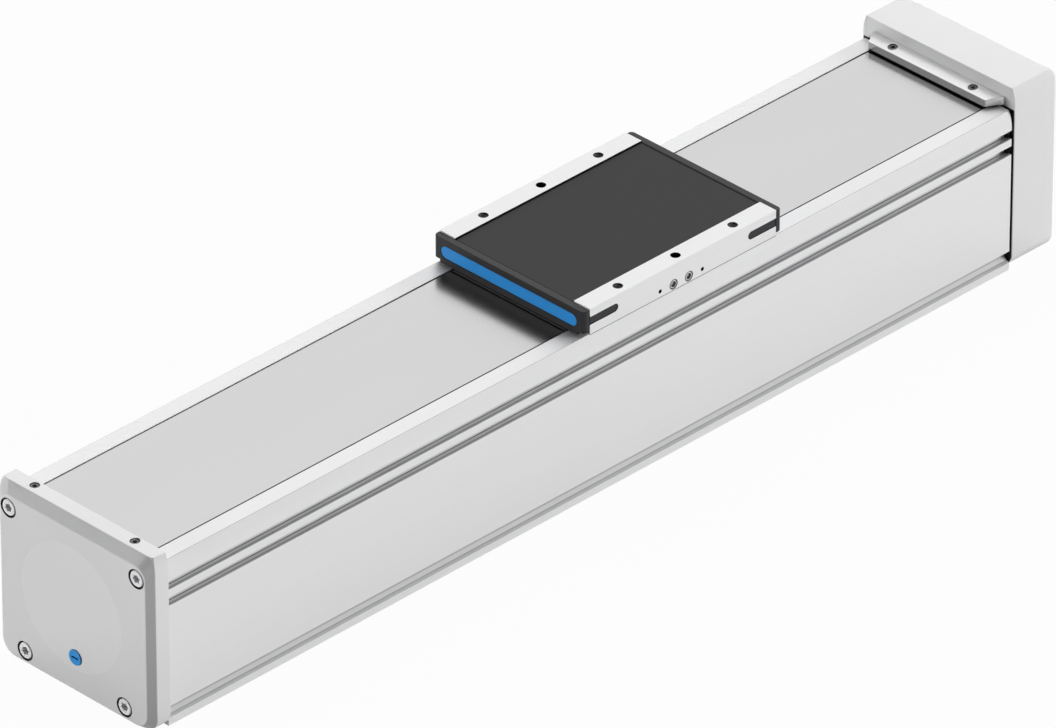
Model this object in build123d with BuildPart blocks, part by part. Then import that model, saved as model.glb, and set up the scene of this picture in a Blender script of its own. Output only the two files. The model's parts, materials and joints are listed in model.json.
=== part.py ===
from build123d import *
from math import radians, sin, tan
import os

os.makedirs("parts", exist_ok=True)

# All sizes are in millimetres. X runs along the axis towards the drive end, Y is the width, Z is up.
# The origin is the middle of the body profile's underside.

# Body profile
profile_length = 674.5
profile_width = 120.0
profile_height = 107.0
bow_inset = 2.6
bow_height = 11.0
floor_height = 18.0
lower_wall = 8.0
upper_wall = 10.0
upper_wall_drop = 34.0
roof_thickness = 8.5
roof_bevel = 6.5
roof_reach = 21.5
flange_width = 13.7

# T-slots in the sides, a clamping groove at the foot and T-slots in the underside
side_slot_drop = 15.4
side_slot_pitch = 10.5
side_slot_mouth = 5.6
side_slot_lip = 1.9
side_slot_undercut = 8.0
side_slot_depth = 6.0
foot_groove_height = 8.7
foot_groove_mouth = 7.7
foot_groove_depth = 4.2
foot_groove_root = 4.4
base_slot_spacing = 40.0
base_slot_mouth = 8.2
base_slot_lip = 3.0
base_slot_undercut = 15.4
base_slot_depth = 10.0
base_hollow_width = 14.0
base_hollow_height = 8.0

# Cover strip, its magnets and the bed it lies in
strip_edge_gap = 1.0
strip_thickness = 0.4
strip_sink = 0.2
strip_tail = 8.0
strip_slot_gap = 0.2
strip_end_gap = 0.2
magnet_width = 5.0
magnet_height = 2.5

# Strip hump inside the slide
hump_rise = 8.6
hump_foot_inset = 12.9
hump_run = 24.0
hump_bend = 60.0

# End caps
cap_bow_run = 11.0
cap_crease_inset = 2.4
cap_base_corner = 9.5
cap_chamfer = 4.2
cap_top_corner = 8.0
cap_foot_chamfer = 2.4
near_cap_overhang = 2.0
near_cap_rise = 7.5
near_cap_thickness = 14.4
near_cap_top_chamfer = 7.6
drive_cap_overhang = 0.7
drive_cap_rise = 14.2
drive_cap_thickness = 38.0
drive_cap_top_chamfer = 5.6
drive_cap_top_run = 8.0
drive_cap_gap = 1.6
drive_cap_land_inset = 3.0

# Cap screws, M6 with cylinder heads
upper_screw_inset = 8.9
upper_screw_drop = 8.0
lower_screw_inset = 20.1
lower_screw_z = 9.6
cap_thread_radius = 2.6
cap_screw_radius = 2.5
cap_screw_grip = 18.0
cap_head_radius = 5.0
cap_head_height = 5.6
cap_counterbore_radius = 5.75
cap_clearance_radius = 3.3
socket_across = 4.6
socket_depth = 3.0

# Strip clamps, set screws and the bar on the drive cap
near_clamp_side = 5.3
near_clamp_inset = 4.4
drive_clamp_side = 13.3
drive_clamp_inset = 5.0
set_screw_radius = 2.9
set_screw_gap = 0.05
set_screw_sink = 0.6
set_screw_socket = 2.9
bar_reach = 10.5
bar_side_overlap = 0.2
bar_flare = 5.5
bar_underside_rise = 0.5
bar_height = 6.0
bar_slope_drop = 1.0
bar_slope_run = 7.0

# Linear guide
rail_end_gap = 4.0
rail_width = 15.0
rail_height = 14.0
rail_foot_height = 5.0
rail_seat_depth = 2.0
rail_waist = 11.4
rail_waist_slope = 1.8
rail_head_height = 4.0
rail_crown = 0.8
block_width = 34.0
block_height = 20.8
block_top = 43.0
block_steel_length = 44.0
block_cap_length = 6.0
block_cap_drop = 0.8
block_end_inset = 10.0
block_clearance = 0.4
block_wall_gap = 1.0

# Screw drive
screw_axis_drop = 8.75
screw_radius = 12.5
screw_running_gap = 0.05
screw_shoulder_chamfer = 1.0
near_journal_radius = 8.5
near_journal_stub = 1.5
fixed_journal_radius = 8.5
lock_nut_radius = 14.0
lock_nut_width = 9.0
lock_nut_slots = 4
lock_nut_slot_width = 4.0
lock_nut_slot_depth = 2.0
drive_journal_radius = 6.0
drive_journal_reach = 29.0
drive_journal_chamfer = 0.8
nut_body_radius = 20.0
nut_body_length = 58.0
nut_collar_radius = 24.0
nut_collar_width = 10.0
nut_wrench_flats = 42.0
nut_seat_gap = 0.03

# Fixed double-row bearing at the drive end and floating bearing at the near end, both sealed
fixed_bearing_radius = 23.5
fixed_bearing_width = 22.2
fixed_bearing_inset = 5.4
floating_bearing_radius = 20.0
floating_bearing_width = 12.0
floating_bearing_inset = 7.0
bearing_seal_gap = 0.25
bearing_seat_gap = 0.02

# Housings round the bearings
near_boss_radius = 26.0
near_boss_reach = 7.0
near_journal_room = 3.0
retainer_radius = 26.0
retainer_thickness = 5.0
retainer_bore_radius = 16.5
retainer_slots = 4
retainer_slot_width = 4.0
retainer_slot_depth = 2.5
pilot_radius = 30.0
motor_screw_spacing = 54.0
motor_screw_radius = 2.5
motor_screw_depth = 14.0
screw_passage_radius = 18.0

# Buffers
buffer_width = 12.0
buffer_height = 14.0
buffer_wall_gap = 5.5
buffer_rise = 8.0
buffer_length = 24.0

# Air connection in the near cap
plug_y = -1.0
plug_z = 24.4
plug_radius = 4.7
plug_gap = 0.03
plug_stand = 0.6
plug_length = 9.0
plug_slot_width = 1.1
plug_slot_length = 5.6
plug_slot_depth = 1.0

# Slide
slide_x = 67.0
slide_length = 149.8
slide_gap = 1.2
slide_height = 17.3
slide_rail_width = 12.8
slide_ledge_width = 3.4
slide_ledge_height = 2.6
bridge_setback = 47.9
bridge_height = 6.4
neck_side_gap = 1.5
plate_thickness = 3.0
plate_sink = 0.8
plate_side_gap = 0.25
slide_hole_spacing = 92.4
slide_thread_radius = 2.5
slide_thread_depth = 12.0
slide_dowel_radius = 3.0
slide_dowel_depth = 8.0
tongue_slot_rise = 9.3
tongue_slot_width = 5.3
tongue_slot_length = 22.6
tongue_slot_depth = 2.4
tongue_gap = 0.15
tongue_sink = 0.3

# Lubrication points and switch flag threads in the slide's side
side_hole_rise = 4.2
side_hole_offset = -1.7
nipple_spacing = 12.3
nipple_radius = 3.3
nipple_depth = 6.0
nipple_seat_gap = 0.02
flag_thread_spacing = 34.0
flag_thread_radius = 1.25
flag_thread_depth = 6.0

# Slide end covers
cover_thickness = 4.8
cover_rounding = 2.8
cover_lip_inset = 5.0
cover_lip_height = 2.1
inlay_inset = 6.0
inlay_height = 7.6
inlay_rise = 8.2
inlay_thickness = 1.2
inlay_pocket = 1.4
wiper_thickness = 2.0
wiper_height = 4.0
wiper_inset = 1.6
wiper_gap = 0.3
strip_run_gap = 0.3
shoe_side_gap = 0.8
shoe_length = 12.0
shoe_end_gap = 0.3
ramp_end_inset = 16.9
ramp_floor_gap = 0.5

# Carriage inside the profile
carriage_end_inset = 4.9
carriage_side_gap = 5.0
carriage_roof_gap = 6.0
carriage_belly_width = 24.0
carriage_belly_drop = 10.0
carriage_edge = 1.5

# Position magnet on the carriage's side
magnet_block_length = 30.0
magnet_block_thickness = 3.0
magnet_block_height = 6.0

# Places worked out from the sizes above
half_profile = profile_width / 2
strip_opening = profile_width - 2 * roof_reach
flange_gap = profile_width - 2 * flange_width
strip_width = flange_gap - 2 * strip_edge_gap
side_slot_height = profile_height - side_slot_drop
near_end = -profile_length / 2
drive_end = profile_length / 2
near_front = near_end - near_cap_thickness
drive_cap_start = drive_end + drive_cap_gap
drive_front = drive_cap_start + drive_cap_thickness
strip_top = profile_height - strip_sink
strip_middle = strip_top - strip_thickness / 2
strip_bed = strip_top - strip_thickness
roof_underside = profile_height - roof_thickness
near_cap_width = profile_width + 2 * near_cap_overhang
near_cap_height = profile_height + near_cap_rise
drive_cap_width = profile_width + 2 * drive_cap_overhang
drive_cap_height = profile_height + drive_cap_rise
near_clamp_y = strip_width / 2 - near_clamp_side
drive_clamp_y = strip_width / 2 - drive_clamp_side
rail_spacing = profile_width - 2 * (lower_wall + block_wall_gap) - block_width
screw_axis_height = (block_top + roof_underside) / 2 - screw_axis_drop
carriage_width = profile_width - 2 * (upper_wall + carriage_side_gap)
carriage_top = roof_underside - carriage_roof_gap
carriage_belly_height = screw_axis_height - carriage_belly_drop
buffer_y = half_profile - upper_wall - buffer_wall_gap - buffer_width / 2
buffer_z = screw_axis_height + buffer_rise
magnet_block_z = side_slot_height - side_slot_pitch
slide_base = profile_height + slide_gap
slide_top = slide_base + slide_height
bridge_top = slide_base + bridge_height
slide_half = slide_length / 2
bridge_length = slide_length - 2 * bridge_setback
carriage_length = slide_length - 2 * carriage_end_inset
block_spacing = carriage_length - 2 * block_end_inset - block_steel_length
hump_foot = slide_half - hump_foot_inset
hump_head = hump_foot - hump_run
ramp_reach = slide_half - ramp_end_inset - bridge_length / 2
slide_width = profile_width
slide_hole_y = (slide_width - slide_rail_width) / 2
side_hole_height = slide_base + side_hole_rise
tongue_slot_height = slide_base + tongue_slot_rise
inlay_z = slide_base + inlay_rise
inlay_width = slide_width - 2 * inlay_inset
cover_lip_width = slide_width - 2 * cover_lip_inset
slide_trough = slide_width - 2 * slide_rail_width
plate_top = slide_top - plate_sink
plate_base = plate_top - plate_thickness
neck_width = strip_opening - 2 * neck_side_gap
shoe_width = slide_trough - 2 * (slide_ledge_width + shoe_side_gap)
upper_screw = (half_profile - upper_screw_inset, profile_height - upper_screw_drop)
lower_screw = (half_profile - lower_screw_inset, lower_screw_z)
cap_screw_places = [(side * y, z) for side in (-1, 1) for y, z in (upper_screw, lower_screw)]
near_face = Plane(origin=(near_front, 0, 0), x_dir=(0, -1, 0), z_dir=(-1, 0, 0))
drive_face = Plane(origin=(drive_front, 0, 0), x_dir=(0, 1, 0), z_dir=(1, 0, 0))
screw_axis = Axis((0, 0, screw_axis_height), (1, 0, 0))
rail_base = floor_height - rail_seat_depth
fixed_bearing_x = drive_end + fixed_bearing_inset
fixed_bearing_end = fixed_bearing_x + fixed_bearing_width
floating_bearing_x = near_end - floating_bearing_inset
cover_top = slide_top - plate_sink


def half_section(points):
    """A closed face on one side of the middle, from straight corners, and its mirror image."""
    with BuildSketch() as section:
        with BuildLine():
            Polyline(*points, close=True)
        make_face()
        mirror(about=Plane.YZ)
    return section.sketch


def tee_slot(mouth, lip, undercut, depth):
    """T-slot outline that opens at its origin and runs inwards along -X."""
    with BuildSketch() as slot:
        with Locations((-lip / 2, 0)):
            Rectangle(lip, mouth)
        with Locations((-(lip + depth) / 2, 0)):
            Rectangle(depth - lip, undercut)
        root = slot.vertices().sort_by(Axis.X)[:2]
        chamfer(root, length=(undercut - mouth) / 3)
    return slot.sketch


def cap_outline(width, height, crease_inset, bow_run, base, corner):
    """Cap outline seen along the axis: flat top, sides that bow in to it, rounded foot corners."""
    half = width / 2
    with BuildSketch() as outline:
        with BuildLine():
            top = Line((0, height), (half - crease_inset, height))
            bow = TangentArc((half, height - bow_run), top @ 1, tangent=(0, 1))
            side = Line((half, height - bow_run), (half, base + corner))
            foot = RadiusArc(side @ 1, (half - corner, base), corner)
            Line(foot @ 1, (0, base))
            Line((0, base), (0, height))
        make_face()
        mirror(about=Plane.YZ)
    return outline.sketch


def strip_curve(lift):
    """The strip's middle line through the slide, moved up by lift, from the slide's middle outwards."""
    low = strip_middle + lift
    high = low + hump_rise
    return ((0, high), (hump_head, high), (hump_foot, low))


def slotted_ring(start, width, inner, outer, slots, slot_width, slot_depth, slot_radius):
    """A ring with tool slots cut round one of its edges."""
    with BuildPart() as part:
        with BuildSketch(Plane.YZ.offset(start)):
            with Locations((0, screw_axis_height)):
                Circle(outer)
                Circle(inner, mode=Mode.SUBTRACT)
                with PolarLocations(slot_radius, slots):
                    Rectangle(2 * slot_depth, slot_width, mode=Mode.SUBTRACT)
        extrude(amount=width)
    return part.part


def taper_outline(half, top, base):
    """Outline of an end cap's taper, rounded at its upper and its foot corners."""
    with BuildSketch() as outline:
        with BuildLine():
            Line((0, top), (half - cap_top_corner, top))
            RadiusArc((half - cap_top_corner, top), (half, top - cap_top_corner), cap_top_corner)
            Line((half, top - cap_top_corner), (half, base + cap_base_corner))
            RadiusArc((half, base + cap_base_corner), (half - cap_base_corner, base), cap_base_corner)
            Line((half - cap_base_corner, base), (0, base))
            Line((0, base), (0, top))
        make_face()
        mirror(about=Plane.YZ)
    return outline.sketch


def cap_block(face, thickness, width, height, top_chamfer):
    """An end cap's block, cut from its outline by a taper towards its front face."""
    with BuildPart() as taper:
        for grow in (-1, 1):
            with BuildSketch(face.offset(-(grow + 1) * cap_chamfer)):
                add(
                    taper_outline(
                        width / 2 + grow * cap_chamfer,
                        height + grow * top_chamfer,
                        -grow * cap_foot_chamfer,
                    )
                )
        loft(ruled=True)
        with BuildSketch(face.offset(-2 * cap_chamfer)):
            Rectangle(2 * width, 3 * height)
        extrude(amount=-thickness)
    with BuildPart() as block:
        with BuildSketch(face):
            add(cap_outline(width, height, cap_crease_inset, cap_bow_run, 0, cap_base_corner))
        extrude(amount=-thickness)
        add(taper.part, mode=Mode.INTERSECT)
    return block.part


# Body profile: bowed sides, two T-slots and a clamping groove each side, and the open guide chamber
with BuildSketch() as foot_groove:
    with BuildLine():
        Polyline(
            (0, foot_groove_mouth / 2),
            (-foot_groove_depth, foot_groove_mouth / 2 - 0.8),
            (-foot_groove_depth, foot_groove_mouth / 2 - foot_groove_root),
            (-foot_groove_depth / 2, -foot_groove_mouth / 2 + 0.8),
            (0, -foot_groove_mouth / 2),
            close=True,
        )
    make_face()

side_slot = tee_slot(side_slot_mouth, side_slot_lip, side_slot_undercut, side_slot_depth)
base_slot = tee_slot(base_slot_mouth, base_slot_lip, base_slot_undercut, base_slot_depth)
chamber = half_section(
    (
        (0, floor_height),
        (half_profile - lower_wall, floor_height),
        (half_profile - lower_wall, profile_height - upper_wall_drop),
        (half_profile - upper_wall, profile_height - upper_wall_drop + 2),
        (half_profile - upper_wall, roof_underside - roof_bevel),
        (half_profile - upper_wall - roof_bevel, roof_underside),
        (strip_opening / 2, roof_underside),
        (strip_opening / 2, profile_height),
        (0, profile_height),
    )
)

with BuildPart() as profile:
    with BuildSketch(Plane.YZ.offset(near_end)) as section:
        with BuildLine():
            top = Line((0, profile_height), (half_profile - bow_inset, profile_height))
            bow_foot = (half_profile, profile_height - bow_height)
            TangentArc(bow_foot, top @ 1, tangent=(0, 1))
            Polyline(bow_foot, (half_profile, 0), (0, 0), (0, profile_height))
        make_face()
        mirror(about=Plane.YZ)
        add(chamber, mode=Mode.SUBTRACT)
        with Locations((0, strip_bed + (profile_height - strip_bed) / 2)):
            Rectangle(flange_gap, profile_height - strip_bed, mode=Mode.SUBTRACT)
        for side, turn in ((1, 0), (-1, 180)):
            groove_width = flange_gap / 2 - (strip_width / 2 - magnet_width)
            with Locations((side * (flange_gap - groove_width) / 2, strip_bed - magnet_height / 2)):
                Rectangle(groove_width, magnet_height, mode=Mode.SUBTRACT)
            with Locations(
                (side * half_profile, side_slot_height),
                (side * half_profile, side_slot_height - side_slot_pitch),
            ):
                add(side_slot, rotation=turn, mode=Mode.SUBTRACT)
            with Locations((side * base_slot_spacing / 2, 0)):
                add(base_slot, rotation=-90, mode=Mode.SUBTRACT)
        with Locations((half_profile, foot_groove_height)):
            add(foot_groove.sketch, mode=Mode.SUBTRACT)
        mirrored_groove = mirror(foot_groove.sketch, about=Plane.YZ, mode=Mode.PRIVATE)
        with Locations((-half_profile, foot_groove_height)):
            add(mirrored_groove, mode=Mode.SUBTRACT)
        with Locations((0, floor_height / 2)):
            RectangleRounded(base_hollow_width, base_hollow_height, 2, mode=Mode.SUBTRACT)
        with Locations(*cap_screw_places):
            Circle(cap_thread_radius, mode=Mode.SUBTRACT)
        with Locations(
            (-rail_spacing / 2, floor_height - rail_seat_depth / 2),
            (rail_spacing / 2, floor_height - rail_seat_depth / 2),
        ):
            Rectangle(rail_width, rail_seat_depth, mode=Mode.SUBTRACT)
    extrude(amount=profile_length)
profile.part.label = "profile"
export_step(profile.part, "parts/profile.step")

# Near cap: closes the profile, clamps the strip and holds the floating bearing in a boss
with BuildPart() as near_cap:
    add(cap_block(near_face, near_cap_thickness, near_cap_width, near_cap_height, near_cap_top_chamfer))
    with BuildSketch(Plane.YZ.offset(near_end)):
        with Locations((0, screw_axis_height)):
            Circle(near_boss_radius)
    extrude(amount=near_boss_reach)
    with BuildSketch(Plane.YZ.offset(floating_bearing_x)):
        with Locations((0, screw_axis_height)):
            Circle(floating_bearing_radius + bearing_seat_gap)
    extrude(amount=near_end + near_boss_reach - floating_bearing_x, mode=Mode.SUBTRACT)
    with BuildSketch(Plane.YZ.offset(floating_bearing_x - near_journal_room)):
        with Locations((0, screw_axis_height)):
            Circle(near_journal_radius + near_journal_room)
    extrude(amount=near_journal_room, mode=Mode.SUBTRACT)
    with BuildSketch(Plane.YZ.offset(near_end)):
        with Locations((0, strip_middle)):
            Rectangle(strip_width + 2 * strip_slot_gap, strip_thickness + 2 * strip_slot_gap)
    extrude(amount=-strip_tail - strip_slot_gap, mode=Mode.SUBTRACT)
    with Locations(near_face):
        with Locations(*cap_screw_places):
            CounterBoreHole(cap_clearance_radius, cap_counterbore_radius, cap_head_height)
        with Locations((-plug_y, plug_z)):
            Hole(plug_radius)
    with Locations(Plane.XY.offset(near_cap_height)):
        with Locations((near_end - near_clamp_inset, 0)):
            with GridLocations(1, 2 * near_clamp_y, 1, 2):
                Hole(set_screw_radius, depth=near_cap_height - strip_top)
near_cap.part.label = "near_cap"
export_step(near_cap.part, "parts/near_cap.step")

# Drive cap: bearing housing with a recessed land against the profile and a pilot for the motor
land_outline = cap_outline(
    profile_width - 2 * drive_cap_land_inset,
    profile_height - drive_cap_land_inset,
    bow_inset,
    bow_height,
    drive_cap_land_inset,
    cap_base_corner,
)
drive_bores = (
    (drive_end, fixed_bearing_inset, screw_passage_radius),
    (fixed_bearing_x, fixed_bearing_width, fixed_bearing_radius + bearing_seat_gap),
    (fixed_bearing_end, retainer_thickness, retainer_radius),
    (fixed_bearing_end + retainer_thickness, drive_cap_thickness, pilot_radius),
)
with BuildPart() as drive_cap:
    add(
        cap_block(
            drive_face, drive_cap_thickness, drive_cap_width, drive_cap_height, drive_cap_top_chamfer
        )
    )
    with BuildSketch(Plane.YZ.offset(drive_end)):
        add(land_outline)
    extrude(amount=drive_cap_gap)
    with BuildSketch(Plane.XZ):
        with BuildLine():
            Polyline(
                (drive_front - drive_cap_top_run, drive_cap_height),
                (drive_front, drive_cap_height),
                (drive_front, drive_cap_height - drive_cap_top_chamfer),
                close=True,
            )
        make_face()
    extrude(amount=drive_cap_width / 2, both=True, mode=Mode.SUBTRACT)
    for start, depth, radius in drive_bores:
        with BuildSketch(Plane.YZ.offset(start)):
            with Locations((0, screw_axis_height)):
                Circle(radius)
        extrude(amount=depth, mode=Mode.SUBTRACT)
    with Locations(drive_face):
        with Locations(*cap_screw_places):
            CounterBoreHole(cap_clearance_radius, cap_counterbore_radius, cap_head_height)
        with Locations((0, screw_axis_height)):
            with GridLocations(motor_screw_spacing, motor_screw_spacing, 2, 2):
                Hole(motor_screw_radius, depth=motor_screw_depth)
drive_cap.part.label = "drive_cap"
export_step(drive_cap.part, "parts/drive_cap.step")

# Clamp bar: trapezoid nose on the drive cap that holds the strip's end down, its top sloping
bar_base = profile_height + bar_underside_rise
bar_front = drive_cap_start - bar_reach
bar_front_width = flange_gap + 2 * bar_side_overlap
bar_back_width = bar_front_width + 2 * bar_flare
with BuildPart() as clamp_bar:
    with BuildSketch(Plane.XY.offset(bar_base)):
        with BuildLine():
            Polyline(
                (drive_cap_start, -bar_back_width / 2),
                (bar_front, -bar_front_width / 2),
                (bar_front, bar_front_width / 2),
                (drive_cap_start, bar_back_width / 2),
                close=True,
            )
        make_face()
    extrude(amount=bar_height)
    with BuildSketch(Plane.XZ):
        with BuildLine():
            Polyline(
                (bar_front, bar_base + bar_height - bar_slope_drop),
                (bar_front, bar_base + bar_height),
                (bar_front + bar_slope_run, bar_base + bar_height),
                close=True,
            )
        make_face()
    extrude(amount=bar_back_width / 2, both=True, mode=Mode.SUBTRACT)
    with Locations(Plane.XY.offset(bar_base + bar_height)):
        with Locations((drive_cap_start - drive_clamp_inset, 0)):
            with GridLocations(1, 2 * drive_clamp_y, 1, 2):
                Hole(set_screw_radius, depth=bar_height)
clamp_bar.part.label = "clamp_bar"
export_step(clamp_bar.part, "parts/clamp_bar.step")

# Set screws that press on the strip, two at each end
strip_screw_ends = (
    ("near_strip_screws", near_end - near_clamp_inset, near_clamp_y, near_cap_height),
    ("drive_strip_screws", drive_cap_start - drive_clamp_inset, drive_clamp_y, bar_base + bar_height),
)
for name, x, y, surface in strip_screw_ends:
    with BuildPart() as strip_screws:
        with BuildSketch(Plane.XY.offset(strip_top)):
            with Locations((x, -y), (x, y)):
                Circle(set_screw_radius - set_screw_gap)
        extrude(amount=surface - set_screw_sink - strip_top)
        with BuildSketch(Plane.XY.offset(surface - set_screw_sink)):
            with Locations((x, -y), (x, y)):
                RegularPolygon(set_screw_socket / 2, 6)
        extrude(amount=-socket_depth, mode=Mode.SUBTRACT)
    strip_screws.part.label = name
    export_step(strip_screws.part, f"parts/{name}.step")

# Cover strip: flat on its bed, with a hump where the slide lifts it over its bridge
strip_start = near_end - strip_tail
strip_end = drive_cap_start - strip_end_gap
with BuildPart() as cover_strip:
    with BuildSketch(Plane.XZ) as ribbon:
        with BuildLine():
            hump = strip_curve(0)
            rise = [(slide_x - x, z) for x, z in reversed(hump[1:])]
            fall = [(slide_x + x, z) for x, z in hump[1:]]
            FilletPolyline(
                (strip_start, strip_middle), *rise, *fall, (strip_end, strip_middle), radius=hump_bend
            )
        trace(line_width=strip_thickness)
    extrude(amount=strip_width / 2, both=True)
cover_strip.part.label = "cover_strip"
export_step(cover_strip.part, "parts/cover_strip.step")

# Magnetic strips and guide rails, one of each on both sides of the opening
for name, side in (("left", 1), ("right", -1)):
    with BuildPart() as magnet_strip:
        with BuildSketch(Plane.YZ.offset(near_end)):
            with Locations((side * (strip_width - magnet_width) / 2, strip_bed - magnet_height / 2)):
                Rectangle(magnet_width, magnet_height)
        extrude(amount=profile_length)
    magnet_strip.part.label = f"magnet_strip_{name}"
    export_step(magnet_strip.part, f"parts/magnet_strip_{name}.step")

rail_section = half_section(
    (
        (0, 0),
        (rail_width / 2, 0),
        (rail_width / 2, rail_foot_height),
        (rail_waist / 2, rail_foot_height + rail_waist_slope),
        (rail_waist / 2, rail_height - rail_head_height - rail_waist_slope),
        (rail_width / 2, rail_height - rail_head_height),
        (rail_width / 2, rail_height - rail_crown),
        (rail_width / 2 - rail_crown, rail_height),
        (0, rail_height),
    )
)
for name, side in (("left", 1), ("right", -1)):
    with BuildPart() as guide_rail:
        with BuildSketch(Plane.YZ.offset(near_end + rail_end_gap)):
            with Locations((side * rail_spacing / 2, rail_base)):
                add(rail_section)
        extrude(amount=profile_length - 2 * rail_end_gap)
    guide_rail.part.label = f"guide_rail_{name}"
    export_step(guide_rail.part, f"parts/guide_rail_{name}.step")

# Runner blocks: steel bodies that wrap the rail heads, and the plastic caps at their ends
block_bore = half_section(
    (
        (0, 0),
        (rail_width / 2 + block_clearance, 0),
        (rail_width / 2 + block_clearance, rail_foot_height + block_clearance),
        (rail_waist / 2 + block_clearance, rail_foot_height + rail_waist_slope + block_clearance),
        (
            rail_waist / 2 + block_clearance,
            rail_height - rail_head_height - rail_waist_slope - block_clearance,
        ),
        (rail_width / 2 + block_clearance, rail_height - rail_head_height - block_clearance),
        (rail_width / 2 + block_clearance, rail_height + block_clearance),
        (0, rail_height + block_clearance),
    )
)
block_middle = block_top - block_height / 2
cap_middle = block_middle - block_cap_drop / 2
for place, along in (("near", -1), ("drive", 1)):
    for name, side in (("left", 1), ("right", -1)):
        block_x = slide_x + along * block_spacing / 2
        block_start = block_x - block_steel_length / 2
        with BuildPart() as runner_block:
            with BuildSketch(Plane.YZ.offset(block_start)):
                with Locations((side * rail_spacing / 2, block_middle)):
                    Rectangle(block_width, block_height)
                with Locations((side * rail_spacing / 2, rail_base)):
                    add(block_bore, mode=Mode.SUBTRACT)
            extrude(amount=block_steel_length)
        runner_block.part.label = f"runner_block_{place}_{name}"
        export_step(runner_block.part, f"parts/runner_block_{place}_{name}.step")
        with BuildPart() as runner_caps:
            for start in (block_start - block_cap_length, block_start + block_steel_length):
                with BuildSketch(Plane.YZ.offset(start)):
                    with Locations((side * rail_spacing / 2, cap_middle)):
                        Rectangle(block_width - block_cap_drop, block_height - block_cap_drop)
                    with Locations((side * rail_spacing / 2, rail_base)):
                        add(block_bore, mode=Mode.SUBTRACT)
                extrude(amount=block_cap_length)
        runner_caps.part.label = f"runner_caps_{place}_{name}"
        export_step(runner_caps.part, f"parts/runner_caps_{place}_{name}.step")

# Screws in the end caps, with hexagon sockets
cap_screw_ends = (
    ("near_cap_screws", near_face, near_cap_thickness),
    ("drive_cap_screws", drive_face, drive_cap_thickness + drive_cap_gap),
)
for name, face, cap_depth in cap_screw_ends:
    with BuildPart() as cap_screws:
        with BuildSketch(face):
            with Locations(*cap_screw_places):
                Circle(cap_head_radius)
        extrude(amount=-cap_head_height)
        with BuildSketch(face.offset(-cap_head_height)):
            with Locations(*cap_screw_places):
                Circle(cap_screw_radius)
        extrude(amount=cap_head_height - cap_depth - cap_screw_grip)
        with BuildSketch(face):
            with Locations(*cap_screw_places):
                RegularPolygon(socket_across / 2, 6)
        extrude(amount=-socket_depth, mode=Mode.SUBTRACT)
    cap_screws.part.label = name
    export_step(cap_screws.part, f"parts/{name}.step")

# Plug of the air connection, with its screwdriver slot
plug_plane = Plane(
    origin=(near_front - plug_stand, plug_y, plug_z), x_dir=(0, -1, 0), z_dir=(-1, 0, 0)
)
with BuildPart() as air_plug:
    with BuildSketch(plug_plane):
        Circle(plug_radius - plug_gap)
    extrude(amount=-plug_length)
    with BuildSketch(plug_plane):
        Rectangle(plug_slot_length, plug_slot_width)
    extrude(amount=-plug_slot_depth, mode=Mode.SUBTRACT)
air_plug.part.label = "air_plug"
export_step(air_plug.part, "parts/air_plug.step")

# Rubber buffers that stop the carriage at each end
for name, face, into in (("near_buffers", near_end, 1), ("drive_buffers", drive_end, -1)):
    with BuildPart() as buffers:
        with BuildSketch(Plane.YZ.offset(face)):
            with Locations((-buffer_y, buffer_z), (buffer_y, buffer_z)):
                Rectangle(buffer_width, buffer_height)
        extrude(amount=into * buffer_length)
    buffers.part.label = name
    export_step(buffers.part, f"parts/{name}.step")

# Ball screw: shaft at its thread's outer size with stepped journals for bearings, nut and motor
screw_start = floating_bearing_x + floating_bearing_width
screw_near_tip = floating_bearing_x - near_journal_stub
screw_drive_tip = drive_front + drive_journal_reach
journal_end = fixed_bearing_end + lock_nut_width
with BuildPart() as ball_screw:
    with BuildSketch(Plane.XZ.offset(0)):
        with BuildLine():
            Polyline(
                (screw_near_tip, screw_axis_height),
                (screw_near_tip, screw_axis_height + near_journal_radius),
                (screw_start, screw_axis_height + near_journal_radius),
                (screw_start, screw_axis_height + screw_radius),
                (fixed_bearing_x, screw_axis_height + screw_radius),
                (fixed_bearing_x, screw_axis_height + fixed_journal_radius),
                (journal_end, screw_axis_height + fixed_journal_radius),
                (journal_end, screw_axis_height + drive_journal_radius),
                (screw_drive_tip - drive_journal_chamfer, screw_axis_height + drive_journal_radius),
                (screw_drive_tip, screw_axis_height + drive_journal_radius - drive_journal_chamfer),
                (screw_drive_tip, screw_axis_height),
                close=True,
            )
        make_face()
    revolve(axis=screw_axis)
ball_screw.part.label = "ball_screw"
export_step(ball_screw.part, "parts/ball_screw.step")

# Sealed bearings, fixed at the drive end and floating at the near end: their inner rings sit on the
# screw and their outer rings in the caps
bearings = (
    (fixed_bearing_x, fixed_bearing_width, fixed_journal_radius, fixed_bearing_radius),
    (floating_bearing_x, floating_bearing_width, near_journal_radius, floating_bearing_radius),
)
with BuildPart() as bearing_outer_rings:
    for start, width, bore_radius, outer_radius in bearings:
        with BuildSketch(Plane.YZ.offset(start)):
            with Locations((0, screw_axis_height)):
                Circle(outer_radius)
                Circle((bore_radius + outer_radius) / 2 + bearing_seal_gap, mode=Mode.SUBTRACT)
        extrude(amount=width)
bearing_outer_rings.part.label = "bearing_outer_rings"
export_step(bearing_outer_rings.part, "parts/bearing_outer_rings.step")

with BuildPart() as bearing_inner_rings:
    for start, width, bore_radius, outer_radius in bearings:
        with BuildSketch(Plane.YZ.offset(start)):
            with Locations((0, screw_axis_height)):
                Circle((bore_radius + outer_radius) / 2)
                Circle(bore_radius, mode=Mode.SUBTRACT)
        extrude(amount=width)
bearing_inner_rings.part.label = "bearing_inner_rings"
export_step(bearing_inner_rings.part, "parts/bearing_inner_rings.step")

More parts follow.
